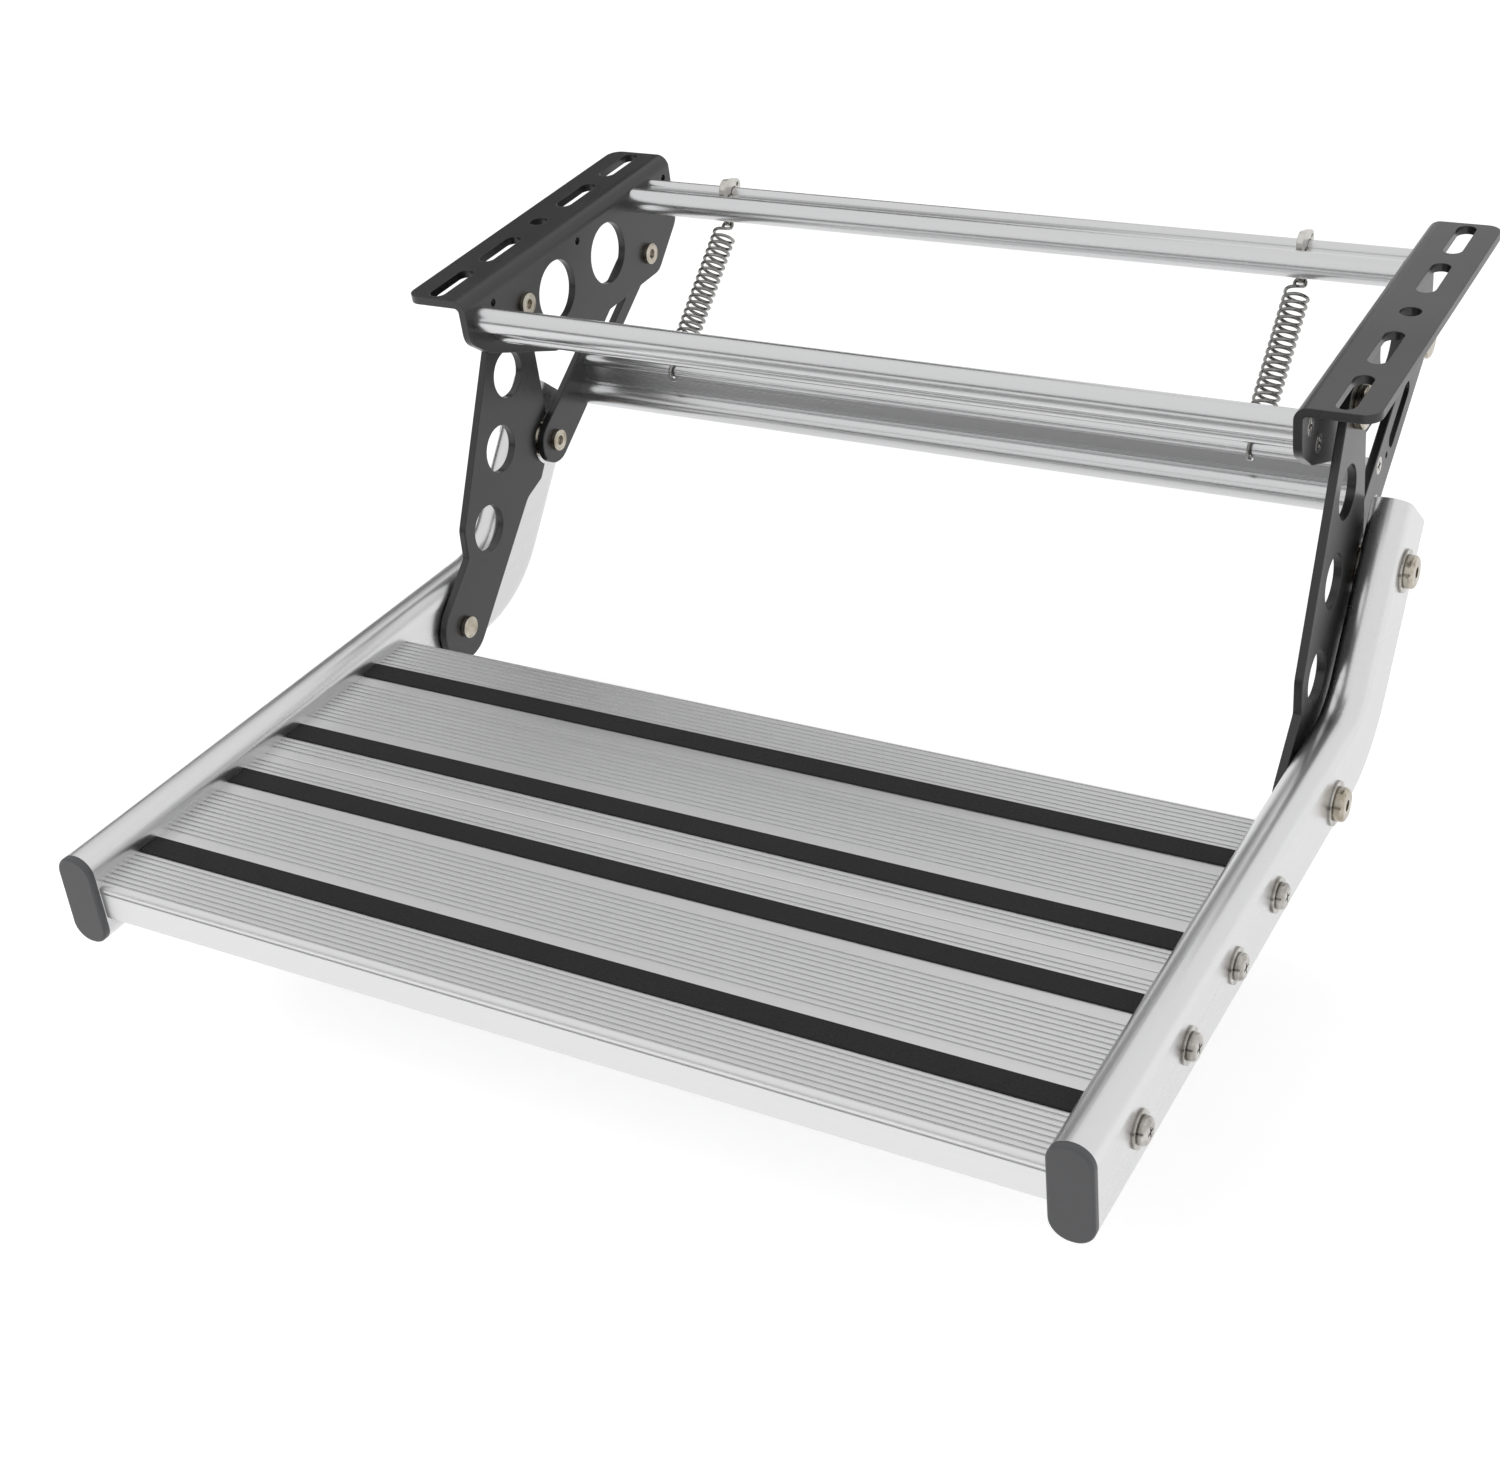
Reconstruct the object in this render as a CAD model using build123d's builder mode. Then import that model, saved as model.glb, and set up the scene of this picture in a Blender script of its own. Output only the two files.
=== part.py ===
from build123d import *
import math
import os

# Folding entrance step for a caravan, shown folded out.
# X runs across the doorway, Y from the tread in front to the hinges behind, Z up.
# The origin is midway between the two mounting flanges, on their top plane.
# All sizes are in millimetres and degrees. A place is a pair, its Y and its Z.

# Overall sizes
OVERALL_WIDTH = 600
RUNNING_CLEARANCE = 0.05
SEAT_GAP = 0.3
SCREW_CLEARANCE = 0.1

# Mounting brackets, one steel angle at each side
BRACKET_LENGTH = 246
WEB_THICKNESS = 5
FLANGE_WIDTH = 44
FLANGE_THICKNESS = 5
BEND_RADIUS = 8
FLANGE_CORNER_RADIUS = 9
WEB_DEPTH = 72
WEB_NOSE_DEPTH = 28
WEB_NOSE_RUN = 17
WEB_NOSE_DROP = 14
WEB_SLOPE_END = -38
WEB_HEEL_DEPTH = 46
WEB_HEEL_RUN = 30
WEB_CORNER_RADIUS = 12
WEB_HOLE_RADIUS = 20.5
WEB_HOLE_DEPTH = 35
WEB_HOLE_YS = (-26.5, 36)
LINING_HOLE_RADIUS = 2.5
LINING_HOLE_DEPTH = 13
LINING_HOLE_YS = (-94, 4, 114)
SLOT_LENGTH = 40
SLOT_WIDTH = 11
OUTER_SLOT_SPACING = 199
INNER_SLOT_SPACING = 91
CENTRE_HOLE_RADIUS = 6
SLOT_INSET = 19
EDGE_ROUNDING = 0.6

# Four pivots of the linkage, as places with the step out
FRONT_PIVOT = (-61.8, -27.9)
REAR_PIVOT = (82.8, -55.0)
TREAD_PIVOT = (-170.3, -207.5)
LINK_PIVOT = (-48.3, -132.7)
PIN_RADIUS = 5

# Arms, the rear ones next to the brackets and the front ones next to the rails
ARM_THICKNESS = 5
ARM_GAP = 0.4
RAIL_ARM_GAP = 0.8
REAR_WASHER_THICKNESS = 0.5
FRONT_ARM_TOP = -9.0
FRONT_ARM_NOSE = -72.6
FRONT_ARM_BACK = -47.0
FRONT_ARM_SHIN = (-153.0, -147.0)
FRONT_ARM_ANKLE = (-154.6, -166.0)
FRONT_ARM_CALF = (-82.9, -159.2)
FRONT_ARM_SPUR = (-65.0, -154.0)
FRONT_ARM_FOOT_RADIUS = 22.5
FRONT_ARM_TOE_ANGLE = 130
FRONT_ARM_HEEL_ANGLE = -48
FRONT_ARM_TOP_RADIUS = 13
FRONT_ARM_SHIN_RADIUS = 12
FRONT_ARM_ANKLE_RADIUS = 3
FRONT_ARM_HOLE_RADIUS = 15.5
FRONT_ARM_HOLES = ((-79.0, -70.5), (-101.0, -113.5), (-128.6, -157.5))
ARM_HOLLOW_GAP = 1.5
REAR_ARM_WIDTH = 31
REAR_ARM_SLOT = (31, 75)
REAR_ARM_SLOT_WIDTH = 11
REAR_ARM_PEEP_AT = 81
REAR_ARM_PEEP_RADIUS = 2

# Extruded crossbars, a thick tube and a bead on one rib
TUBE_RADIUS = 8
BEAD_RADIUS = 4
BAR_PITCH = 22
RIB_THICKNESS = 3
FRONT_BAR_AT = (-109.0, -17.4)
FRONT_BAR_ANGLE = -51
REAR_BAR_AT = (75.5, -13.5)
REAR_BAR_ANGLE = 5
LOWER_BAR_AT = (-7.1, -117.0)
LOWER_BAR_ANGLE = 73

# Countersunk screws that hold the crossbars
BAR_SCREW_RADIUS = 2.4
BAR_SCREW_HEAD_RADIUS = 5.2
BAR_SCREW_HEAD_DEPTH = 2.8
BAR_SCREW_LENGTH = 18
CROSS_WIDTH = 1.4
CROSS_DEPTH = 1.2
CROSS_LENGTH = 6.4

# Pivot bolts, their nuts and bushes
PIVOT_HEAD_RADIUS = 12
PIVOT_HEAD_THICKNESS = 5
PIVOT_HEAD_ROUNDING = 1.6
PIVOT_NUT_RADIUS = 7
PIVOT_NUT_THICKNESS = 3
SOCKET_RADIUS = 3.2
SOCKET_DEPTH = 2
BUSH_RADIUS = 9

# Tread frame, turned a little nose up against the chassis
TREAD_TILT = 3.0
RAIL_THICKNESS = 23
RAIL_HEIGHT = 55
RAIL_CORNER_RADIUS = 11
RAIL_WALL = 2.5
RAIL_LINE_ABOVE_PIVOT = 4.9
RAIL_FRONT = -334.3
RAIL_BEND_BEHIND_PIVOT = 58
RAIL_BEND_ANGLE = 50
RAIL_BEND_RADIUS = 62
RAIL_LEG_LENGTH = 131
CAP_THICKNESS = 4
CAP_ROUNDING = 1.5
PLUG_LENGTH = 16
PLUG_WALL = 2.5

# Tread boards, one extrusion used twice, its second length turned round
# Distances into a board are taken from its rounded nose, on the far side of the joint
BOARD_WIDTH = 142
BOARD_HEIGHT = 22.6
BOARD_WALL = 2.2
BOARD_NOSE_RADIUS = 4
BOARD_FOOT_RADIUS = 1.6
BOARD_JOINT_RADIUS = 0.5
BOARD_PORT_RADIUS = 5
BOARD_TOP = 11.1
BOARD_GAP = 0.4
BOARD_JOINT = -191.8
OUTER_SCREW_IN = 47.3
INNER_SCREW_IN = 109.7
NOSE_GROOVE_DROP = 5
GROOVE_PITCH = 3.75
GROOVE_WIDTH = 1.4
GROOVE_DEPTH = 0.8
OUTER_GROOVES_IN = 4.2
OUTER_GROOVE_COUNT = 8
MIDDLE_GROOVES_IN = 57.7
MIDDLE_GROOVE_COUNT = 12
JOINT_GROOVES_IN = 127.2
JOINT_GROOVE_COUNT = 3
OUTER_STRIP_IN = 41.2
INNER_STRIP_IN = 116.2
STRIP_WIDTH = 15
STRIP_SEAT = 1.6
STRIP_PROUD = 1.0
STRIP_ROUNDING = 0.4

# Screws and bolts through the rails
BOARD_SCREW_RADIUS = 2.9
BOARD_SCREW_HEAD_RADIUS = 7
BOARD_SCREW_HEAD_HEIGHT = 4.2
BOARD_SCREW_LENGTH = 42
RAIL_WASHER_RADIUS = 9.5
RAIL_WASHER_THICKNESS = 1.4
RAIL_BOLT_HEAD_RADIUS = 9.5
RAIL_BOLT_HEAD_HEIGHT = 5.5
RAIL_BOLT_WASHER_RADIUS = 12.5
RAIL_HEAD_ROUNDING = 2.2

# Extension springs and their lugs
SPRING_INSET = 64
SPRING_RADIUS = 6.2
WIRE_RADIUS = 0.9
SPRING_TURNS = 22
SPRING_END_TURN = 0.75
TOP_LOOP_RADIUS = 5.6
TOP_LOOP_ANGLES = (-130, -45, 45, 130)
HOOK_ANGLES = (40, 130, 220, 310)
COIL_END_RISE = 3.6
LEAST_GAP_SPAN = 5.4
HOOK_GAP = 0.4
HOOK_SLOT_LENGTH = 4.4
HOOK_SLOT_HEIGHT = 3.6
LUG_THICKNESS = 5
LUG_HEAD_RADIUS = 11.5
LUG_STEM_WIDTH = 7
LUG_HOLE_BELOW = 16.5
LUG_HOLE_RADIUS = 1.7

# Worked out places across the step, from the rails inwards
HALF_WIDTH = OVERALL_WIDTH / 2
WASHER_OUTER = HALF_WIDTH + RAIL_WASHER_THICKNESS
RAIL_MIDDLE = HALF_WIDTH - RAIL_THICKNESS / 2
RAIL_INNER = HALF_WIDTH - RAIL_THICKNESS
FRONT_ARM_OUTER = RAIL_INNER - RAIL_ARM_GAP
FRONT_ARM_INNER = FRONT_ARM_OUTER - ARM_THICKNESS
REAR_ARM_OUTER = FRONT_ARM_INNER - ARM_GAP
REAR_ARM_INNER = REAR_ARM_OUTER - ARM_THICKNESS
WEB_OUTER = REAR_ARM_INNER - SEAT_GAP - REAR_WASHER_THICKNESS
WEB_INNER = WEB_OUTER - WEB_THICKNESS
FLANGE_OUTER = WEB_INNER + FLANGE_WIDTH
FLANGE_END = BRACKET_LENGTH / 2
BOLT_LINE = FLANGE_OUTER - SLOT_INSET
SPRING_HALF_SPREAD = WEB_INNER - SPRING_INSET


def beside(place, distance, angle):
    """The place at a distance and an angle from another."""
    turn = math.radians(angle)
    return (place[0] + distance * math.cos(turn), place[1] + distance * math.sin(turn))


def side_plane(offset, place=(0, 0), angle=0):
    """Side view plane at a distance across, with its own origin place and turn."""
    return Plane(origin=(offset, *place), x_dir=(0, *beside((0, 0), 1, angle)), z_dir=(1, 0, 0))


def save(part, name):
    """Labels a finished piece and writes its file."""
    part.label = name
    export_step(part, f"parts/{name}.step")


def disc(place, radius, start, end, mode=Mode.ADD):
    """A round bar along X at a place, in the part being built."""
    with BuildSketch(side_plane(start, place)) as circle:
        Circle(radius)
    extrude(circle.sketch, amount=end - start, mode=mode)


def cone(place, radii, start, end, mode=Mode.ADD):
    """A round taper along X at a place, from the first radius to the second."""
    with BuildSketch(side_plane(start, place)) as first:
        Circle(radii[0])
    with BuildSketch(side_plane(end, place)) as last:
        Circle(radii[1])
    loft([first.sketch, last.sketch], mode=mode)


def plate(corners, start, end, mode=Mode.ADD):
    """A plate from its corners, each given as a place and a corner radius."""
    with BuildSketch(side_plane(start)) as profile:
        with BuildLine():
            FilletPolyline(*[c[0] for c in corners], radius=[c[1] for c in corners], close=True)
        make_face()
    extrude(profile.sketch, amount=end - start, mode=mode)


def cross_recess(place, face):
    """A cross recess cut into a screw head that faces along X."""
    with BuildSketch(side_plane(face, place)) as cross:
        Rectangle(CROSS_LENGTH, CROSS_WIDTH)
        Rectangle(CROSS_WIDTH, CROSS_LENGTH)
    extrude(cross.sketch, amount=-CROSS_DEPTH, mode=Mode.SUBTRACT)


def bar_screw_places(place, turn):
    """Screw places of a crossbar: its tube's centre and its bead's."""
    return (place, beside(place, BAR_PITCH, turn))


def countersinks(places, inner, outer):
    """Countersunk holes through a plate, widest at its outer face."""
    hole = BAR_SCREW_RADIUS + SCREW_CLEARANCE
    head = BAR_SCREW_HEAD_RADIUS + SCREW_CLEARANCE
    for place in places:
        disc(place, hole, inner, outer, Mode.SUBTRACT)
        cone(place, (hole, head), outer - BAR_SCREW_HEAD_DEPTH, outer, Mode.SUBTRACT)


def bar_screws(places, outer):
    """Countersunk screws along X, their heads flush with a plate's outer face."""
    for place in places:
        disc(place, BAR_SCREW_RADIUS, outer - BAR_SCREW_LENGTH, outer)
        cone(place, (BAR_SCREW_RADIUS, BAR_SCREW_HEAD_RADIUS), outer - BAR_SCREW_HEAD_DEPTH, outer)
        cross_recess(place, outer)


def ring(place, radius, bore, start, end):
    """A plain ring along X, such as a washer, a bush or a round nut."""
    disc(place, radius, start, end)
    disc(place, bore, start, end, Mode.SUBTRACT)


def soften(arm):
    """Rounds the long edges of a plate lying across X, before its holes are cut."""
    faces = arm.faces().filter_by(Axis.X)
    fillet([edge for face in faces for edge in face.outer_wire().edges()], EDGE_ROUNDING)


os.makedirs("parts", exist_ok=True)
front_bar_screw_places = bar_screw_places(FRONT_BAR_AT, FRONT_BAR_ANGLE)
rear_bar_screw_places = bar_screw_places(REAR_BAR_AT, REAR_BAR_ANGLE)
lower_bar_screw_places = bar_screw_places(LOWER_BAR_AT, LOWER_BAR_ANGLE)

# Mounting brackets: bent steel plate, flange outwards, with two large lightening holes
slot_ys = [s * y / 2 for y in (OUTER_SLOT_SPACING, INNER_SLOT_SPACING) for s in (-1, 1)]
with BuildPart() as mounting_bracket_right:
    with BuildSketch(Plane.XZ.offset(-FLANGE_END)):
        with BuildLine():
            FilletPolyline(
                (WEB_INNER, -WEB_DEPTH),
                (WEB_INNER, 0),
                (FLANGE_OUTER, 0),
                (FLANGE_OUTER, -FLANGE_THICKNESS),
                (WEB_OUTER, -FLANGE_THICKNESS),
                (WEB_OUTER, -WEB_DEPTH),
                radius=[0, BEND_RADIUS, 0, 0, BEND_RADIUS - WEB_THICKNESS, 0],
                close=True,
            )
        make_face()
    extrude(amount=BRACKET_LENGTH)
    plate(
        [
            ((-FLANGE_END, 0), 0),
            ((-FLANGE_END, -WEB_NOSE_DEPTH), WEB_CORNER_RADIUS),
            ((-FLANGE_END + WEB_NOSE_RUN, -WEB_NOSE_DEPTH - WEB_NOSE_DROP), WEB_CORNER_RADIUS),
            ((WEB_SLOPE_END, -WEB_DEPTH), WEB_CORNER_RADIUS),
            ((FLANGE_END - WEB_HEEL_RUN, -WEB_DEPTH), WEB_CORNER_RADIUS),
            ((FLANGE_END, -WEB_HEEL_DEPTH), WEB_CORNER_RADIUS),
            ((FLANGE_END, 0), 0),
        ],
        WEB_INNER,
        FLANGE_OUTER,
        Mode.INTERSECT,
    )
    fillet(
        mounting_bracket_right.edges().filter_by(Axis.Z).group_by(Axis.X)[-1],
        FLANGE_CORNER_RADIUS,
    )
    for hole_y in WEB_HOLE_YS:
        disc((hole_y, -WEB_HOLE_DEPTH), WEB_HOLE_RADIUS, WEB_INNER, WEB_OUTER, Mode.SUBTRACT)
    for hole_y in LINING_HOLE_YS:
        disc((hole_y, -LINING_HOLE_DEPTH), LINING_HOLE_RADIUS, WEB_INNER, WEB_OUTER, Mode.SUBTRACT)
    for pivot in (FRONT_PIVOT, REAR_PIVOT):
        disc(pivot, PIN_RADIUS + RUNNING_CLEARANCE, WEB_INNER, WEB_OUTER, Mode.SUBTRACT)
    countersinks(front_bar_screw_places + rear_bar_screw_places, WEB_INNER, WEB_OUTER)
    with BuildSketch(Plane.XY):
        with Locations(*[(BOLT_LINE, slot_y) for slot_y in slot_ys]):
            SlotOverall(SLOT_LENGTH, SLOT_WIDTH, rotation=90)
        with Locations((BOLT_LINE, 0)):
            Circle(CENTRE_HOLE_RADIUS)
    extrude(amount=-FLANGE_THICKNESS, mode=Mode.SUBTRACT)
save(mounting_bracket_right.part, "mounting_bracket_right")

with BuildPart() as mounting_bracket_left:
    mirror(mounting_bracket_right.part, about=Plane.YZ)
save(mounting_bracket_left.part, "mounting_bracket_left")


def crossbar(place, turn, half_length):
    """One length of the crossbar extrusion, with a screw port in its tube and its bead."""
    with BuildSketch(side_plane(-half_length, place, turn)) as section:
        Circle(TUBE_RADIUS)
        with Locations((BAR_PITCH, 0)):
            Circle(BEAD_RADIUS)
        with Locations((BAR_PITCH / 2, 0)):
            Rectangle(BAR_PITCH, RIB_THICKNESS)
        with Locations((0, 0), (BAR_PITCH, 0)):
            Circle(BAR_SCREW_RADIUS + SCREW_CLEARANCE, mode=Mode.SUBTRACT)
    extrude(section.sketch, amount=2 * half_length)


# Crossbars of the chassis: the same aluminium extrusion in front and behind
with BuildPart() as front_crossbar:
    crossbar(FRONT_BAR_AT, FRONT_BAR_ANGLE, WEB_INNER)
save(front_crossbar.part, "front_crossbar")

stem_middle = (TUBE_RADIUS + BAR_PITCH - BEAD_RADIUS) / 2
stem_slot_start = SPRING_HALF_SPREAD - LUG_THICKNESS / 2 - SCREW_CLEARANCE
with BuildPart() as rear_crossbar:
    crossbar(REAR_BAR_AT, REAR_BAR_ANGLE, WEB_INNER)
    for slot_start in (stem_slot_start, -stem_slot_start - LUG_THICKNESS - 2 * SCREW_CLEARANCE):
        with BuildSketch(side_plane(slot_start, REAR_BAR_AT, REAR_BAR_ANGLE)):
            with Locations((stem_middle, 0)):
                Rectangle(LUG_STEM_WIDTH + 2 * SCREW_CLEARANCE, 2 * RIB_THICKNESS)
        extrude(amount=LUG_THICKNESS + 2 * SCREW_CLEARANCE, mode=Mode.SUBTRACT)
save(rear_crossbar.part, "rear_crossbar")

# Spring lugs: plated ears dropped through the slots in the rear crossbar's rib
with BuildPart() as spring_lugs:
    with BuildSketch(side_plane(SPRING_HALF_SPREAD - LUG_THICKNESS / 2, REAR_BAR_AT, REAR_BAR_ANGLE)):
        with Locations((stem_middle, RIB_THICKNESS / 2)):
            Circle(LUG_HEAD_RADIUS)
        with Locations((stem_middle, RIB_THICKNESS / 2 - LUG_HEAD_RADIUS)):
            Rectangle(2 * LUG_HEAD_RADIUS, 2 * LUG_HEAD_RADIUS, mode=Mode.SUBTRACT)
        Circle(TUBE_RADIUS + SCREW_CLEARANCE, mode=Mode.SUBTRACT)
        with Locations((BAR_PITCH, 0)):
            Circle(BEAD_RADIUS + SCREW_CLEARANCE, mode=Mode.SUBTRACT)
        with Locations((stem_middle, RIB_THICKNESS / 2)):
            Rectangle(
                LUG_STEM_WIDTH,
                LUG_HOLE_BELOW + RIB_THICKNESS / 2,
                align=(Align.CENTER, Align.MAX),
            )
        with Locations((stem_middle, -LUG_HOLE_BELOW)):
            Circle(LUG_STEM_WIDTH / 2)
            Circle(LUG_HOLE_RADIUS, mode=Mode.SUBTRACT)
    extrude(amount=LUG_THICKNESS)
    mirror(about=Plane.YZ)
save(spring_lugs.part, "spring_lugs")

with BuildPart() as bracket_screws:
    bar_screws(front_bar_screw_places + rear_bar_screw_places, WEB_OUTER)
    mirror(about=Plane.YZ)
save(bracket_screws.part, "bracket_screws")

# Chassis pivots: round headed bolts outside the arms, bushes, and socketed nuts inside
for pivot, pivot_name, arm_inner in (
    (FRONT_PIVOT, "front_pivot", FRONT_ARM_INNER),
    (REAR_PIVOT, "rear_pivot", REAR_ARM_INNER),
):
    head_start = arm_inner + ARM_THICKNESS + SEAT_GAP
    shank_start = WEB_INNER - PIVOT_NUT_THICKNESS
    with BuildPart() as bolts:
        disc(pivot, PIN_RADIUS, shank_start, head_start)
        disc(pivot, PIVOT_HEAD_RADIUS, head_start, head_start + PIVOT_HEAD_THICKNESS)
        fillet(bolts.edges().sort_by(Axis.X)[-1], PIVOT_HEAD_ROUNDING)
        disc(pivot, SOCKET_RADIUS, shank_start, shank_start + SOCKET_DEPTH, Mode.SUBTRACT)
        mirror(about=Plane.YZ)
    save(bolts.part, f"{pivot_name}_bolts")
    with BuildPart() as nuts:
        ring(pivot, PIVOT_NUT_RADIUS, PIN_RADIUS, shank_start, WEB_INNER)
        mirror(about=Plane.YZ)
    save(nuts.part, f"{pivot_name}_nuts")
    with BuildPart() as bushes:
        ring(pivot, BUSH_RADIUS, PIN_RADIUS, WEB_OUTER, arm_inner - SEAT_GAP)
        mirror(about=Plane.YZ)
    save(bushes.part, f"{pivot_name}_bushes")

# Front arms: broad plates with three holes, hollowed behind for the link pivot's spacer
with BuildPart() as front_arm_right:
    plate(
        [
            ((FRONT_ARM_NOSE, FRONT_ARM_TOP), FRONT_ARM_TOP_RADIUS),
            (FRONT_ARM_SHIN, FRONT_ARM_SHIN_RADIUS),
            (FRONT_ARM_ANKLE, FRONT_ARM_ANKLE_RADIUS),
            (beside(TREAD_PIVOT, FRONT_ARM_FOOT_RADIUS, FRONT_ARM_TOE_ANGLE), 0),
            (beside(TREAD_PIVOT, FRONT_ARM_FOOT_RADIUS, FRONT_ARM_HEEL_ANGLE), 0),
            (FRONT_ARM_CALF, FRONT_ARM_SHIN_RADIUS),
            (FRONT_ARM_SPUR, FRONT_ARM_ANKLE_RADIUS),
            ((FRONT_ARM_BACK, LINK_PIVOT[1]), 0),
            ((FRONT_ARM_BACK, FRONT_ARM_TOP), FRONT_ARM_TOP_RADIUS),
        ],
        FRONT_ARM_INNER,
        FRONT_ARM_OUTER,
    )
    disc(TREAD_PIVOT, FRONT_ARM_FOOT_RADIUS, FRONT_ARM_INNER, FRONT_ARM_OUTER)
    disc(
        LINK_PIVOT,
        REAR_ARM_WIDTH / 2 + ARM_HOLLOW_GAP,
        FRONT_ARM_INNER,
        FRONT_ARM_OUTER,
        Mode.SUBTRACT,
    )
    soften(front_arm_right)
    for hole in FRONT_ARM_HOLES:
        disc(hole, FRONT_ARM_HOLE_RADIUS, FRONT_ARM_INNER, FRONT_ARM_OUTER, Mode.SUBTRACT)
    for pivot in (FRONT_PIVOT, TREAD_PIVOT):
        disc(pivot, PIN_RADIUS + RUNNING_CLEARANCE, FRONT_ARM_INNER, FRONT_ARM_OUTER, Mode.SUBTRACT)
save(front_arm_right.part, "front_arm_right")

with BuildPart() as front_arm_left:
    mirror(front_arm_right.part, about=Plane.YZ)
save(front_arm_left.part, "front_arm_left")

# Rear arms: straight round-ended bars with a long slot near the chassis pivot
rear_arm_length = math.dist(REAR_PIVOT, LINK_PIVOT)
rear_arm_turn = math.degrees(
    math.atan2(LINK_PIVOT[1] - REAR_PIVOT[1], LINK_PIVOT[0] - REAR_PIVOT[0])
)
with BuildPart() as rear_arm_right:
    with BuildSketch(side_plane(REAR_ARM_INNER, REAR_PIVOT, rear_arm_turn)):
        with Locations((rear_arm_length / 2, 0)):
            SlotCenterToCenter(rear_arm_length, REAR_ARM_WIDTH)
    extrude(amount=ARM_THICKNESS)
    soften(rear_arm_right)
    with BuildSketch(side_plane(REAR_ARM_INNER, REAR_PIVOT, rear_arm_turn)):
        with Locations((sum(REAR_ARM_SLOT) / 2, 0)):
            SlotOverall(REAR_ARM_SLOT[1] - REAR_ARM_SLOT[0], REAR_ARM_SLOT_WIDTH)
        with Locations((REAR_ARM_PEEP_AT, 0)):
            Circle(REAR_ARM_PEEP_RADIUS)
        with Locations((0, 0), (rear_arm_length, 0)):
            Circle(PIN_RADIUS + RUNNING_CLEARANCE)
    extrude(amount=ARM_THICKNESS, mode=Mode.SUBTRACT)
    countersinks(lower_bar_screw_places, REAR_ARM_INNER, REAR_ARM_OUTER)
save(rear_arm_right.part, "rear_arm_right")

with BuildPart() as rear_arm_left:
    mirror(rear_arm_right.part, about=Plane.YZ)
save(rear_arm_left.part, "rear_arm_left")

# Lower crossbar between the rear arms, with a slot under its bead for each spring hook
hook_radius = BEAD_RADIUS + HOOK_GAP + WIRE_RADIUS
hook_slot_place = beside(LOWER_BAR_AT, BAR_PITCH - hook_radius, LOWER_BAR_ANGLE)
across_the_rib = (0, *beside((0, 0), 1, LOWER_BAR_ANGLE))
with BuildPart() as lower_crossbar:
    crossbar(LOWER_BAR_AT, LOWER_BAR_ANGLE, REAR_ARM_INNER)
    for side in (-1, 1):
        hook_slot_plane = Plane(
            origin=(side * SPRING_HALF_SPREAD, *hook_slot_place),
            x_dir=(1, 0, 0),
            z_dir=Vector(1, 0, 0).cross(Vector(across_the_rib)),
        )
        with BuildSketch(hook_slot_plane):
            SlotOverall(HOOK_SLOT_LENGTH, HOOK_SLOT_HEIGHT)
        extrude(amount=RIB_THICKNESS, both=True, mode=Mode.SUBTRACT)
save(lower_crossbar.part, "lower_crossbar")

with BuildPart() as lower_crossbar_screws:
    bar_screws(lower_bar_screw_places, REAR_ARM_OUTER)
    mirror(about=Plane.YZ)
save(lower_crossbar_screws.part, "lower_crossbar_screws")

# Link pins: the rear arm's half of the pivot between rear arm and rail
link_pin_start = REAR_ARM_INNER - PIVOT_NUT_THICKNESS
with BuildPart() as link_pins:
    disc(LINK_PIVOT, PIN_RADIUS + RUNNING_CLEARANCE, link_pin_start, REAR_ARM_OUTER)
    disc(LINK_PIVOT, PIVOT_NUT_RADIUS, link_pin_start, REAR_ARM_INNER)
    disc(LINK_PIVOT, SOCKET_RADIUS, link_pin_start, link_pin_start + SOCKET_DEPTH, Mode.SUBTRACT)
    mirror(about=Plane.YZ)
save(link_pins.part, "link_pins")

# Tread frame: its places are given behind the tread pivot and above the rails' middle line
rail_origin = beside(TREAD_PIVOT, RAIL_LINE_ABOVE_PIVOT, 90 - TREAD_TILT)


def tread_place(behind, above):
    """The place of a point of the tilted tread frame."""
    return beside(beside(rail_origin, behind, -TREAD_TILT), above, 90 - TREAD_TILT)


def rail_section(plane, drawn_in):
    """The rail's rounded section on a plane, drawn in all round by a distance."""
    with BuildSketch(plane) as section:
        RectangleRounded(
            RAIL_THICKNESS - 2 * drawn_in,
            RAIL_HEIGHT - 2 * drawn_in,
            RAIL_CORNER_RADIUS - drawn_in,
        )
    return section.sketch


leg_end = beside((RAIL_BEND_BEHIND_PIVOT, 0), RAIL_LEG_LENGTH, RAIL_BEND_ANGLE)
rail_front_plane = Plane(
    origin=(RAIL_MIDDLE, *tread_place(RAIL_FRONT, 0)),
    x_dir=(1, 0, 0),
    z_dir=(0, *beside((0, 0), 1, -TREAD_TILT)),
)
rail_end_plane = Plane(
    origin=(RAIL_MIDDLE, *tread_place(*leg_end)),
    x_dir=(1, 0, 0),
    z_dir=(0, *beside((0, 0), -1, RAIL_BEND_ANGLE - TREAD_TILT)),
)
board_noses = {side: BOARD_JOINT + side * (BOARD_GAP / 2 + BOARD_WIDTH) for side in (-1, 1)}
board_screw_places = [
    tread_place(board_noses[side] - side * screw_in, 0)
    for side in (-1, 1)
    for screw_in in (OUTER_SCREW_IN, INNER_SCREW_IN)
]

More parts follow.
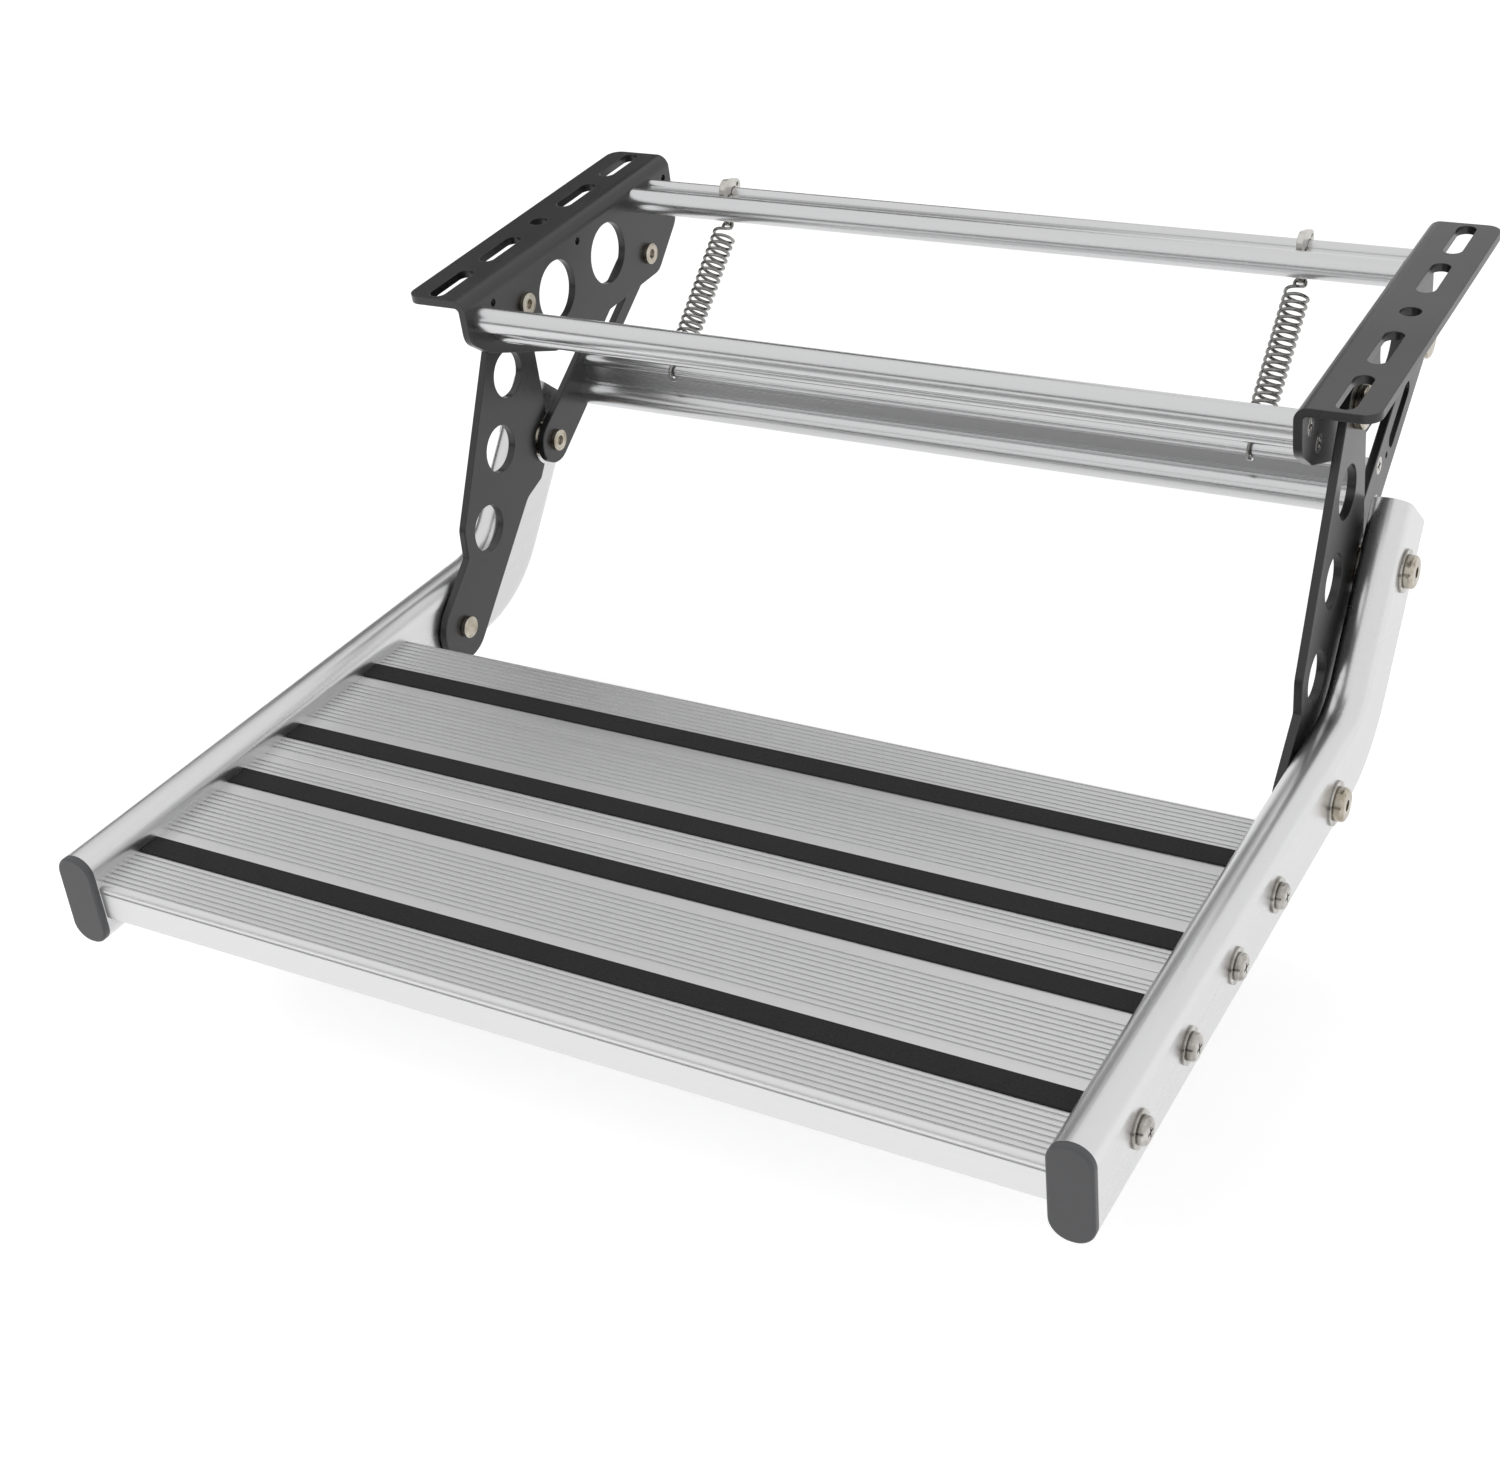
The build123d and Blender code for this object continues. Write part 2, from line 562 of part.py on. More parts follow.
# Side rails: rounded aluminium extrusion, bent up behind the tread pivot
with BuildPart() as side_rail_right:
    with BuildLine(side_plane(RAIL_MIDDLE, rail_origin, -TREAD_TILT)) as rail_path:
        FilletPolyline(
            (RAIL_FRONT, 0),
            (RAIL_BEND_BEHIND_PIVOT, 0),
            leg_end,
            radius=RAIL_BEND_RADIUS,
        )
    sweep(rail_section(rail_front_plane, 0), path=rail_path.wires()[0])
    sweep(rail_section(rail_front_plane, RAIL_WALL), path=rail_path.wires()[0], mode=Mode.SUBTRACT)
    for place in board_screw_places:
        disc(place, BOARD_SCREW_RADIUS + SCREW_CLEARANCE, RAIL_INNER, HALF_WIDTH, Mode.SUBTRACT)
    for pivot in (TREAD_PIVOT, LINK_PIVOT):
        disc(pivot, PIN_RADIUS + SCREW_CLEARANCE, RAIL_INNER, HALF_WIDTH, Mode.SUBTRACT)
save(side_rail_right.part, "side_rail_right")

with BuildPart() as side_rail_left:
    mirror(side_rail_right.part, about=Plane.YZ)
save(side_rail_left.part, "side_rail_left")

# Rail caps: moulded, with a hollow plug inside the rail's front end
plug_drawn_in = RAIL_WALL + SCREW_CLEARANCE
with BuildPart() as rail_cap_right:
    extrude(rail_section(rail_front_plane, 0), amount=-CAP_THICKNESS)
    fillet(rail_cap_right.faces().sort_by(Axis.Y)[0].edges(), CAP_ROUNDING)
    extrude(rail_section(rail_front_plane, plug_drawn_in), amount=PLUG_LENGTH)
    extrude(
        rail_section(rail_front_plane, plug_drawn_in + PLUG_WALL),
        amount=PLUG_LENGTH,
        mode=Mode.SUBTRACT,
    )
save(rail_cap_right.part, "rail_cap_right")

with BuildPart() as rail_cap_left:
    mirror(rail_cap_right.part, about=Plane.YZ)
save(rail_cap_left.part, "rail_cap_left")

# Rear plugs: flush plugs in the raised ends of the rails
with BuildPart() as rail_rear_plugs:
    extrude(rail_section(rail_end_plane, plug_drawn_in), amount=PLUG_LENGTH)
    mirror(about=Plane.YZ)
save(rail_rear_plugs.part, "rail_rear_plugs")


def groove_row(first, count):
    """Distances into a board of a row of top grooves."""
    return [first + GROOVE_PITCH * step for step in range(count)]


def tread_board(nose, side):
    """Hollow board between the rails, with screw ports, strip seats and top grooves."""
    middle = BOARD_TOP - BOARD_HEIGHT / 2
    bottom = BOARD_TOP - BOARD_HEIGHT
    joint = nose - side * BOARD_WIDTH
    groove_ins = (
        groove_row(OUTER_GROOVES_IN, OUTER_GROOVE_COUNT)
        + groove_row(MIDDLE_GROOVES_IN, MIDDLE_GROOVE_COUNT)
        + groove_row(JOINT_GROOVES_IN, JOINT_GROOVE_COUNT)
    )
    with BuildSketch(side_plane(-RAIL_INNER, rail_origin, -TREAD_TILT)) as section:
        with BuildLine():
            FilletPolyline(
                (nose, BOARD_TOP),
                (nose, bottom),
                (joint, bottom),
                (joint, BOARD_TOP),
                radius=[
                    BOARD_NOSE_RADIUS,
                    BOARD_FOOT_RADIUS,
                    BOARD_JOINT_RADIUS,
                    BOARD_JOINT_RADIUS,
                ],
                close=True,
            )
        make_face()
        with Locations(((nose + joint) / 2, middle)):
            Rectangle(
                BOARD_WIDTH - 2 * BOARD_WALL,
                BOARD_HEIGHT - 2 * BOARD_WALL,
                mode=Mode.SUBTRACT,
            )
        for screw_in in (OUTER_SCREW_IN, INNER_SCREW_IN):
            with Locations((nose - side * screw_in, middle)):
                Rectangle(BOARD_WALL, BOARD_HEIGHT - BOARD_WALL)
            with Locations((nose - side * screw_in, 0)):
                Circle(BOARD_PORT_RADIUS)
                Circle(BOARD_SCREW_RADIUS + SCREW_CLEARANCE, mode=Mode.SUBTRACT)
        for strip_in in (OUTER_STRIP_IN, INNER_STRIP_IN):
            with Locations((nose - side * strip_in, BOARD_TOP)):
                Rectangle(
                    STRIP_WIDTH + 2 * BOARD_WALL,
                    STRIP_SEAT + BOARD_WALL,
                    align=(Align.CENTER, Align.MAX),
                )
                Rectangle(STRIP_WIDTH, 2 * STRIP_SEAT, mode=Mode.SUBTRACT)
        with Locations(*[(nose - side * groove_in, BOARD_TOP) for groove_in in groove_ins]):
            Rectangle(GROOVE_WIDTH, 2 * GROOVE_DEPTH, mode=Mode.SUBTRACT)
        with Locations((nose, BOARD_TOP - NOSE_GROOVE_DROP)):
            Rectangle(2 * GROOVE_DEPTH, GROOVE_WIDTH, mode=Mode.SUBTRACT)
    extrude(section.sketch, amount=2 * RAIL_INNER)


def anti_slip_strip(centre):
    """A rubber strip seated in a board's top."""
    strip_start = -RAIL_INNER + SEAT_GAP
    with BuildSketch(side_plane(strip_start, rail_origin, -TREAD_TILT)) as section:
        with Locations((centre, BOARD_TOP - STRIP_SEAT)):
            Rectangle(
                STRIP_WIDTH - 2 * SCREW_CLEARANCE,
                STRIP_SEAT + STRIP_PROUD,
                align=(Align.CENTER, Align.MIN),
            )
        fillet(section.vertices().group_by(Axis.Y)[-1], STRIP_ROUNDING)
    extrude(section.sketch, amount=-2 * strip_start)


# Tread boards and their anti-slip strips
for board_name, board_side in (("front", -1), ("rear", 1)):
    board_nose = board_noses[board_side]
    with BuildPart() as board:
        tread_board(board_nose, board_side)
    save(board.part, f"{board_name}_tread_board")
    strip_places = sorted(board_nose - board_side * strip_in for strip_in in (OUTER_STRIP_IN, INNER_STRIP_IN))
    for strip_name, strip_place in zip(("front", "rear"), strip_places):
        with BuildPart() as strip:
            anti_slip_strip(strip_place)
        save(strip.part, f"{board_name}_board_{strip_name}_strip")

# Board screws: pan heads on washers outside the rails
with BuildPart() as board_screws:
    head_top = WASHER_OUTER + BOARD_SCREW_HEAD_HEIGHT
    for place in board_screw_places:
        disc(place, BOARD_SCREW_RADIUS, WASHER_OUTER - BOARD_SCREW_LENGTH, WASHER_OUTER)
        disc(place, BOARD_SCREW_HEAD_RADIUS, WASHER_OUTER, head_top)
    fillet(board_screws.edges().group_by(Axis.X)[-1], RAIL_HEAD_ROUNDING)
    for place in board_screw_places:
        cross_recess(place, head_top)
    mirror(about=Plane.YZ)
save(board_screws.part, "board_screws")

with BuildPart() as board_screw_washers:
    for place in board_screw_places:
        ring(place, RAIL_WASHER_RADIUS, BOARD_SCREW_RADIUS, HALF_WIDTH, WASHER_OUTER)
    mirror(about=Plane.YZ)
save(board_screw_washers.part, "board_screw_washers")


# Rail bolts: socket headed, through rail and arm at the tread pivot, up to the arm at the link
tread_nut_start = FRONT_ARM_INNER - SEAT_GAP - PIVOT_NUT_THICKNESS
link_bolt_end = REAR_ARM_OUTER + SEAT_GAP
for pivot, bolt_end, bolt_name in (
    (TREAD_PIVOT, tread_nut_start, "tread_pivot_bolts"),
    (LINK_PIVOT, link_bolt_end, "link_bolts"),
):
    head_top = WASHER_OUTER + RAIL_BOLT_HEAD_HEIGHT
    with BuildPart() as bolts:
        disc(pivot, PIN_RADIUS, bolt_end, WASHER_OUTER)
        disc(pivot, RAIL_BOLT_HEAD_RADIUS, WASHER_OUTER, head_top)
        fillet(bolts.edges().sort_by(Axis.X)[-1], RAIL_HEAD_ROUNDING)
        disc(pivot, SOCKET_RADIUS, head_top - SOCKET_DEPTH, head_top, Mode.SUBTRACT)
        mirror(about=Plane.YZ)
    save(bolts.part, bolt_name)

with BuildPart() as tread_pivot_nuts:
    ring(TREAD_PIVOT, PIVOT_NUT_RADIUS, PIN_RADIUS, tread_nut_start, FRONT_ARM_INNER - SEAT_GAP)
    mirror(about=Plane.YZ)
save(tread_pivot_nuts.part, "tread_pivot_nuts")

with BuildPart() as link_spacers:
    ring(LINK_PIVOT, RAIL_BOLT_WASHER_RADIUS, PIN_RADIUS, link_bolt_end, RAIL_INNER)
    mirror(about=Plane.YZ)
save(link_spacers.part, "link_spacers")

with BuildPart() as rail_bolt_washers:
    for pivot in (TREAD_PIVOT, LINK_PIVOT):
        ring(pivot, RAIL_BOLT_WASHER_RADIUS, PIN_RADIUS, HALF_WIDTH, WASHER_OUTER)
    ring(
        TREAD_PIVOT,
        RAIL_BOLT_WASHER_RADIUS,
        PIN_RADIUS,
        FRONT_ARM_OUTER + SEAT_GAP,
        RAIL_INNER,
    )
    mirror(about=Plane.YZ)
save(rail_bolt_washers.part, "rail_bolt_washers")

# Return springs: a side loop through the lug's hole, a coil, and a hook round the lower bead
lug_middle = beside(REAR_BAR_AT, stem_middle, REAR_BAR_ANGLE)
spring_top = beside(lug_middle, -LUG_HOLE_BELOW, 90 + REAR_BAR_ANGLE)
spring_foot = lower_bar_screw_places[1]
spring_length = math.dist(spring_top, spring_foot)
spring_down = Vector(0, spring_foot[0] - spring_top[0], spring_foot[1] - spring_top[1]).normalized()
spring_across = Vector(1, 0, 0)
spring_aside = spring_down.cross(spring_across)
coil_start = 2 * TOP_LOOP_RADIUS + COIL_END_RISE
coil_end = spring_length - hook_radius - COIL_END_RISE
coil_pitch = (coil_end - coil_start) / (SPRING_TURNS + SPRING_END_TURN)


def coil_point(turns):
    """A point of the coil's middle line and its direction, after a count of turns."""
    angle = 2 * math.pi * turns
    outwards = spring_aside * math.cos(angle) - spring_across * math.sin(angle)
    sideways = spring_aside * -math.sin(angle) - spring_across * math.cos(angle)
    climb = coil_pitch / (2 * math.pi * SPRING_RADIUS)
    point = outwards * SPRING_RADIUS + spring_down * (coil_start + coil_pitch * turns)
    return point, (sideways + spring_down * climb).normalized()


def loop_point(centre, radius, first, second, angle):
    """A point of a round loop and its direction, at an angle from its first axis to its second."""
    turn = math.radians(angle)
    point = centre + first * (radius * math.cos(turn)) + second * (radius * math.sin(turn))
    return point, (second * math.cos(turn) - first * math.sin(turn)).normalized()


def join(start, end):
    """Two tangent arcs from one point and direction to another, in the line being drawn."""
    gap = end[0] - start[0]
    both = start[1] + end[1]
    bend = 2 * (1 - start[1].dot(end[1]))
    reach = gap.dot(both)
    leg = (-reach + math.sqrt(reach * reach + bend * gap.dot(gap))) / bend
    first_corner = start[0] + start[1] * leg
    last_corner = end[0] - end[1] * leg
    middle = (first_corner + last_corner) / 2
    TangentArc(start[0], middle, tangent=start[1])
    TangentArc(middle, end[0], tangent=last_corner - first_corner)


top_loop_centre = spring_down * TOP_LOOP_RADIUS
foot_centre = spring_down * spring_length
top_loop = [
    loop_point(top_loop_centre, TOP_LOOP_RADIUS, spring_down * -1, spring_across, angle)
    for angle in TOP_LOOP_ANGLES
]
foot_loop = [
    loop_point(foot_centre, hook_radius, spring_down * -1, spring_aside, angle)
    for angle in HOOK_ANGLES
]
coil = [coil_point(half / 2) for half in range(2 * SPRING_TURNS + 2)]
coil.append(coil_point(SPRING_TURNS + SPRING_END_TURN))
spring_stations = top_loop + coil + foot_loop


def least_gap(line, wire_radius):
    """The least gap of a wound wire to itself, measured between points of its middle line."""
    count = int(line.length / wire_radius)
    points = [tuple(line.position_at(step / count)) for step in range(count + 1)]
    apart = math.ceil(LEAST_GAP_SPAN * count / line.length)
    nearest = min(
        math.dist(point, other)
        for index, point in enumerate(points)
        for other in points[index + apart :]
    )
    return nearest - 2 * wire_radius


with BuildPart() as one_spring:
    with BuildLine() as spring_line:
        for station, next_station in zip(spring_stations, spring_stations[1:]):
            join(station, next_station)
    spring_wire = spring_line.wires()[0]
    with BuildSketch(Plane(origin=spring_stations[0][0], z_dir=spring_stations[0][1])):
        Circle(WIRE_RADIUS)
    sweep(path=spring_wire)
spring_gap = least_gap(spring_wire, WIRE_RADIUS)
print("spring wire", round(spring_wire.length, 1), "least gap", round(spring_gap, 2))

with BuildPart() as return_springs:
    for side in (-1, 1):
        with Locations((side * SPRING_HALF_SPREAD, *spring_top)):
            add(one_spring.part)
save(return_springs.part, "return_springs")
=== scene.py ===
import math

import bpy
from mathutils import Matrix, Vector


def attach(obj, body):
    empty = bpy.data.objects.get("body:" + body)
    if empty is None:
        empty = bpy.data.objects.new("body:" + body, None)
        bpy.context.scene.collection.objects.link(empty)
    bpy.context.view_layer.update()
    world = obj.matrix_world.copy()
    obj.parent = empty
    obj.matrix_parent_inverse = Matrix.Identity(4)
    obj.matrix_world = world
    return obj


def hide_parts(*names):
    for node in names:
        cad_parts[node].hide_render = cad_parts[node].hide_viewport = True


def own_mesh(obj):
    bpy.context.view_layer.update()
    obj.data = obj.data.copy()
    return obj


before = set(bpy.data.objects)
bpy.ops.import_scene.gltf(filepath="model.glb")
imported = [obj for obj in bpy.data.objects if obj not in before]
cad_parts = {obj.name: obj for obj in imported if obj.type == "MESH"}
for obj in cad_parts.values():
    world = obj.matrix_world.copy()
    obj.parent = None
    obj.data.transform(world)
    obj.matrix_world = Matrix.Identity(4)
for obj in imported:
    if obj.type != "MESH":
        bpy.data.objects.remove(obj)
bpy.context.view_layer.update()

# Mounting brackets: two angles bent from 5 mm steel plate, punched, then coated in
# satin black powder. They bolt up under the vehicle's floor.


def new_group(name, inputs, outputs):
    """An empty shader group. An input is a name with its number, or with None for a vector."""
    group = bpy.data.node_groups.new(name, "ShaderNodeTree")
    for socket_name, value in inputs.items():
        kind = "NodeSocketVector" if value is None else "NodeSocketFloat"
        socket = group.interface.new_socket(socket_name, in_out="INPUT", socket_type=kind)
        if value is not None:
            socket.default_value = value
    for socket_name, kind in outputs.items():
        group.interface.new_socket(socket_name, in_out="OUTPUT", socket_type=f"NodeSocket{kind}")
    return group, group.nodes.new("NodeGroupInput"), group.nodes.new("NodeGroupOutput")


def grain_group():
    """Fine speckle and slow patches of a surface, each from 0 to 1."""
    group, given, result = new_group(
        "surface_grain",
        {"Vector": None, "Grain Scale": 900.0, "Patch Scale": 14.0},
        {"Grain": "Float", "Patch": "Float"},
    )
    for socket_name, detail in (("Grain", 3.0), ("Patch", 5.0)):
        noise = group.nodes.new("ShaderNodeTexNoise")
        noise.inputs["Detail"].default_value = detail
        group.links.new(given.outputs["Vector"], noise.inputs["Vector"])
        group.links.new(given.outputs[f"{socket_name} Scale"], noise.inputs["Scale"])
        group.links.new(noise.outputs["Fac"], result.inputs[socket_name])
    return group


def edge_group():
    """Softened normals over sharp edges, and a mask of edges that are partly rubbed thin and partly given
    a painted highlight.
    """
    group, given, result = new_group(
        "worn_and_highlit_edges",
        {"Vector": None, "Radius": 0.0008},
        {"Normal": "Vector", "Edge": "Float"},
    )
    bevel = group.nodes.new("ShaderNodeBevel")
    bevel.samples = 6
    shape = group.nodes.new("ShaderNodeNewGeometry")
    compare = group.nodes.new("ShaderNodeVectorMath")
    compare.operation = "DOT_PRODUCT"
    spread = group.nodes.new("ShaderNodeMapRange")
    spread.inputs["From Min"].default_value = 0.995
    spread.inputs["From Max"].default_value = 0.8
    rough = group.nodes.new("ShaderNodeTexNoise")
    rough.inputs["Scale"].default_value = 180.0
    rough.inputs["Detail"].default_value = 4.0
    patchy = group.nodes.new("ShaderNodeMath")
    patchy.operation = "MULTIPLY"
    link = group.links.new
    link(given.outputs["Radius"], bevel.inputs["Radius"])
    link(bevel.outputs["Normal"], compare.inputs[0])
    link(shape.outputs["Normal"], compare.inputs[1])
    link(compare.outputs["Value"], spread.inputs["Value"])
    link(given.outputs["Vector"], rough.inputs["Vector"])
    link(spread.outputs["Result"], patchy.inputs[0])
    link(rough.outputs["Fac"], patchy.inputs[1])
    link(bevel.outputs["Normal"], result.inputs["Normal"])
    link(patchy.outputs["Value"], result.inputs["Edge"])
    return group


surface_grain = grain_group()
worn_and_highlit_edges = edge_group()


def start_material(name, metallic, specular, edge_radius):
    """A material with its shader, its place on the piece, and its edges of wear and painted highlight."""
    material = bpy.data.materials.new(name)
    material.use_nodes = True
    nodes = material.node_tree.nodes
    shader = nodes["Principled BSDF"]
    shader.inputs["Metallic"].default_value = metallic
    shader.inputs["Specular IOR Level"].default_value = specular
    place = nodes.new("ShaderNodeTexCoord")
    edges = nodes.new("ShaderNodeGroup")
    edges.node_tree = worn_and_highlit_edges
    edges.inputs["Radius"].default_value = edge_radius
    material.node_tree.links.new(place.outputs["Object"], edges.inputs["Vector"])
    return material, shader, place, edges


def add_grain(material, place, grain_scale, patch_scale):
    """The shared grain, placed in one material with its own scales."""
    grain = material.node_tree.nodes.new("ShaderNodeGroup")
    grain.node_tree = surface_grain
    grain.inputs["Grain Scale"].default_value = grain_scale
    grain.inputs["Patch Scale"].default_value = patch_scale
    material.node_tree.links.new(place.outputs["Object"], grain.inputs["Vector"])
    return grain


def mixed_colour(material, first, second, mask):
    """A blend from one colour to another by a mask."""
    mix = material.node_tree.nodes.new("ShaderNodeMix")
    mix.data_type = "RGBA"
    for socket, colour in ((mix.inputs[6], first), (mix.inputs[7], second)):
        if isinstance(colour, tuple):
            socket.default_value = (*colour, 1.0)
        else:
            material.node_tree.links.new(colour, socket)
    material.node_tree.links.new(mask, mix.inputs["Factor"])
    return mix.outputs[2]


def spread_value(material, source, low, high):
    """The middle of a noise spread between two values."""
    spread = material.node_tree.nodes.new("ShaderNodeMapRange")
    spread.inputs["From Min"].default_value = 0.3
    spread.inputs["From Max"].default_value = 0.7
    spread.inputs["To Min"].default_value = low
    spread.inputs["To Max"].default_value = high
    material.node_tree.links.new(source, spread.inputs["Value"])
    return spread.outputs["Result"]


def join_finish(material, shader, colour, roughness, height, depth, edges):
    """Joins a colour, a roughness and a bump of a real depth to the shader."""
    relief = material.node_tree.nodes.new("ShaderNodeBump")
    relief.inputs["Distance"].default_value = depth
    link = material.node_tree.links.new
    link(height, relief.inputs["Height"])
    link(edges.outputs["Normal"], relief.inputs["Normal"])
    link(colour, shader.inputs["Base Color"])
    link(roughness, shader.inputs["Roughness"])
    link(relief.outputs["Normal"], shader.inputs["Normal"])


def coated(name, specular, colours, edge_colour, roughness, rough_by, grain_scale, patch_scale, depth):
    """Powder coat, plastic or rubber: cloudy colour, lighter edges of wear and painted highlight, and a
    fine grain.
    """
    material, shader, place, edges = start_material(name, 0.0, specular, edge_radius=0.0008)
    grain = add_grain(material, place, grain_scale, patch_scale)
    colour = mixed_colour(material, *colours, grain.outputs["Patch"])
    # Lighter edges: partly wear, partly a painted highlight.
    if edge_colour:
        colour = mixed_colour(material, colour, edge_colour, edges.outputs["Edge"])
    shine = spread_value(material, grain.outputs[rough_by], *roughness)
    join_finish(material, shader, colour, shine, grain.outputs["Grain"], depth, edges)
    return material


def give_finish(material, *node_names):
    """Gives CAD pieces their material."""
    for node_name in node_names:
        for material_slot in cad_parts[node_name].material_slots:
            material_slot.material = material


powder_black = coated(
    "satin_black_powder_coat",
    specular=0.62,
    colours=((0.007, 0.007, 0.0075), (0.011, 0.011, 0.0115)),
    # Edge colour: partly wear on the coat, partly a painted highlight.
    edge_colour=(0.05, 0.05, 0.052),
    roughness=(0.27, 0.36),
    rough_by="Patch",
    grain_scale=1500.0,
    patch_scale=11.0,
    depth=0.00006,
)
give_finish(powder_black, "mounting_bracket_left", "mounting_bracket_right")

# Crossbars: three lengths of one extruded aluminium bar, a thick tube and a thin bead
# on one rib, anodised natural and left with the die's fine lines along them.
# How much lighter the anodised edges are drawn: partly rubbed bare, partly a painted highlight.
EDGE_WEAR_AND_HIGHLIGHT_GAIN = 1.25
# Painted shade in the boards' grooves: its reach and colour.
GROOVE_REACH = 0.0025
GROOVE_SHADE = (0.1, 0.1, 0.1)
DIE_LINE_DEPTH = 0.000004


def die_line_group():
    """Fine lines and broad streaks that an extrusion die leaves along X, from 0 to 1."""
    group, given, result = new_group("die_lines", {"Vector": None}, {"Lines": "Float", "Streaks": "Float"})
    for socket_name, stretch in (("Lines", (2.0, 2600.0, 2600.0)), ("Streaks", (0.7, 240.0, 240.0))):
        mapping = group.nodes.new("ShaderNodeMapping")
        mapping.inputs["Scale"].default_value = stretch
        noise = group.nodes.new("ShaderNodeTexNoise")
        noise.inputs["Scale"].default_value = 1.0
        noise.inputs["Detail"].default_value = 2.0
        group.links.new(given.outputs["Vector"], mapping.inputs["Vector"])
        group.links.new(mapping.outputs["Vector"], noise.inputs["Vector"])
        group.links.new(noise.outputs["Fac"], result.inputs[socket_name])
    return group


die_lines = die_line_group()


def hollow_mask(material, reach, shallow, deep, strength, own_shape_only):
    """A mask of grooves and corners, from where they are shallow to where they are deep."""
    hollow = material.node_tree.nodes.new("ShaderNodeAmbientOcclusion")
    hollow.samples = 6
    hollow.only_local = own_shape_only
    hollow.inputs["Distance"].default_value = reach
    spread = material.node_tree.nodes.new("ShaderNodeMapRange")
    spread.inputs["From Min"].default_value = shallow
    spread.inputs["From Max"].default_value = deep
    spread.inputs["To Max"].default_value = strength
    material.node_tree.links.new(hollow.outputs["AO"], spread.inputs["Value"])
    return spread.outputs["Result"]


def anodised(name, colours, roughness, turn=0.0, groove_dark=0.0):
    """Anodised aluminium, its die lines along X or turned from it, with painted shade in its grooves if
    asked.
    """
    material, shader, place, edges = start_material(name, 1.0, 0.5, edge_radius=0.0004)
    along = material.node_tree.nodes.new("ShaderNodeMapping")
    along.inputs["Rotation"].default_value = (0, 0, turn)
    lines = material.node_tree.nodes.new("ShaderNodeGroup")
    lines.node_tree = die_lines
    material.node_tree.links.new(place.outputs["Object"], along.inputs["Vector"])
    material.node_tree.links.new(along.outputs["Vector"], lines.inputs["Vector"])
    colour = mixed_colour(material, *colours, lines.outputs["Streaks"])
    # Lighter edges: partly rubbed bare metal, partly a painted highlight.
    edge_wear_and_highlight = tuple(min(1.0, channel * EDGE_WEAR_AND_HIGHLIGHT_GAIN) for channel in colours[1])
    colour = mixed_colour(material, colour, edge_wear_and_highlight, edges.outputs["Edge"])
    # Painted shade: the colour darkens deep in the grooves.
    if groove_dark:
        grooves = hollow_mask(
            material,
            reach=GROOVE_REACH,
            shallow=0.92,
            deep=0.5,
            strength=groove_dark,
            own_shape_only=True,
        )
        colour = mixed_colour(material, colour, GROOVE_SHADE, grooves)
    shine = spread_value(material, lines.outputs["Streaks"], *roughness)
    join_finish(material, shader, colour, shine, lines.outputs["Lines"], DIE_LINE_DEPTH, edges)
    return material


bar_aluminium = anodised(
    "anodised_crossbar_aluminium",
    colours=((0.6, 0.602, 0.608), (0.64, 0.642, 0.648)),
    roughness=(0.25, 0.28),
)
give_finish(bar_aluminium, "front_crossbar", "rear_crossbar", "lower_crossbar")

# Screws and washers: turned and stamped steel, bright zinc plated. The countersunk screws
# sit flush in the black plates, the pan heads stand on washers outside the rails.
# Edge colour of the zinc: partly rubbed plate, partly a painted highlight.
ZINC_EDGE_WEAR_AND_HIGHLIGHT = (0.86, 0.85, 0.82)
# Painted shade in corners and against nearby parts: its reach and colour.
CORNER_SHADE_REACH = 0.0014
PAINTED_CORNER_SHADE = (0.06, 0.05, 0.04)
ZINC_GRAIN_DEPTH = 0.00003


def zinc_plated(name, colours, roughness):
    """Zinc plate with cloudy colour, a fine turned grain, and painted shade in its corners and against
    nearby parts.
    """
    material, shader, place, edges = start_material(name, 1.0, 0.5, edge_radius=0.0005)
    grain = add_grain(material, place, grain_scale=1800.0, patch_scale=150.0)
    clouds = spread_value(material, grain.outputs["Patch"], 0.0, 1.0)
    colour = mixed_colour(material, *colours, clouds)
    # Lighter edges: partly rubbed plate, partly a painted highlight.
    colour = mixed_colour(material, colour, ZINC_EDGE_WEAR_AND_HIGHLIGHT, edges.outputs["Edge"])
    # Painted shade: the colour darkens in corners and where other parts come close.
    corners = hollow_mask(
        material,
        reach=CORNER_SHADE_REACH,
        shallow=0.85,
        deep=0.45,
        strength=0.75,
        own_shape_only=False,
    )
    colour = mixed_colour(material, colour, PAINTED_CORNER_SHADE, corners)
    shine = spread_value(material, grain.outputs["Patch"], *roughness)
    join_finish(material, shader, colour, shine, grain.outputs["Grain"], ZINC_GRAIN_DEPTH, edges)
    return material


zinc_plate = zinc_plated(
    "bright_zinc_plate",
    colours=((0.26, 0.24, 0.215), (0.6, 0.585, 0.555)),
    roughness=(0.15, 0.23),
)
give_finish(
    zinc_plate,
    "bracket_screws",
    "lower_crossbar_screws",
    "board_screws",
    "board_screw_washers",
    "rail_bolt_washers",
)

# Pivot bolts, nuts, link pins and spacers: turned steel, plated with a warmer, thicker
# zinc. They join the arms to the brackets and the rails.
warm_zinc = zinc_plated(
    "warm_zinc_plate",
    colours=((0.3, 0.255, 0.19), (0.58, 0.545, 0.47)),
    roughness=(0.17, 0.27),
)
give_finish(
    warm_zinc,
    "front_pivot_nuts",
    "rear_pivot_nuts",
    "tread_pivot_nuts",
    "link_pins",
    "link_spacers",
    "tread_pivot_bolts",
    "link_bolts",
    "front_pivot_bolts",
    "rear_pivot_bolts",
)

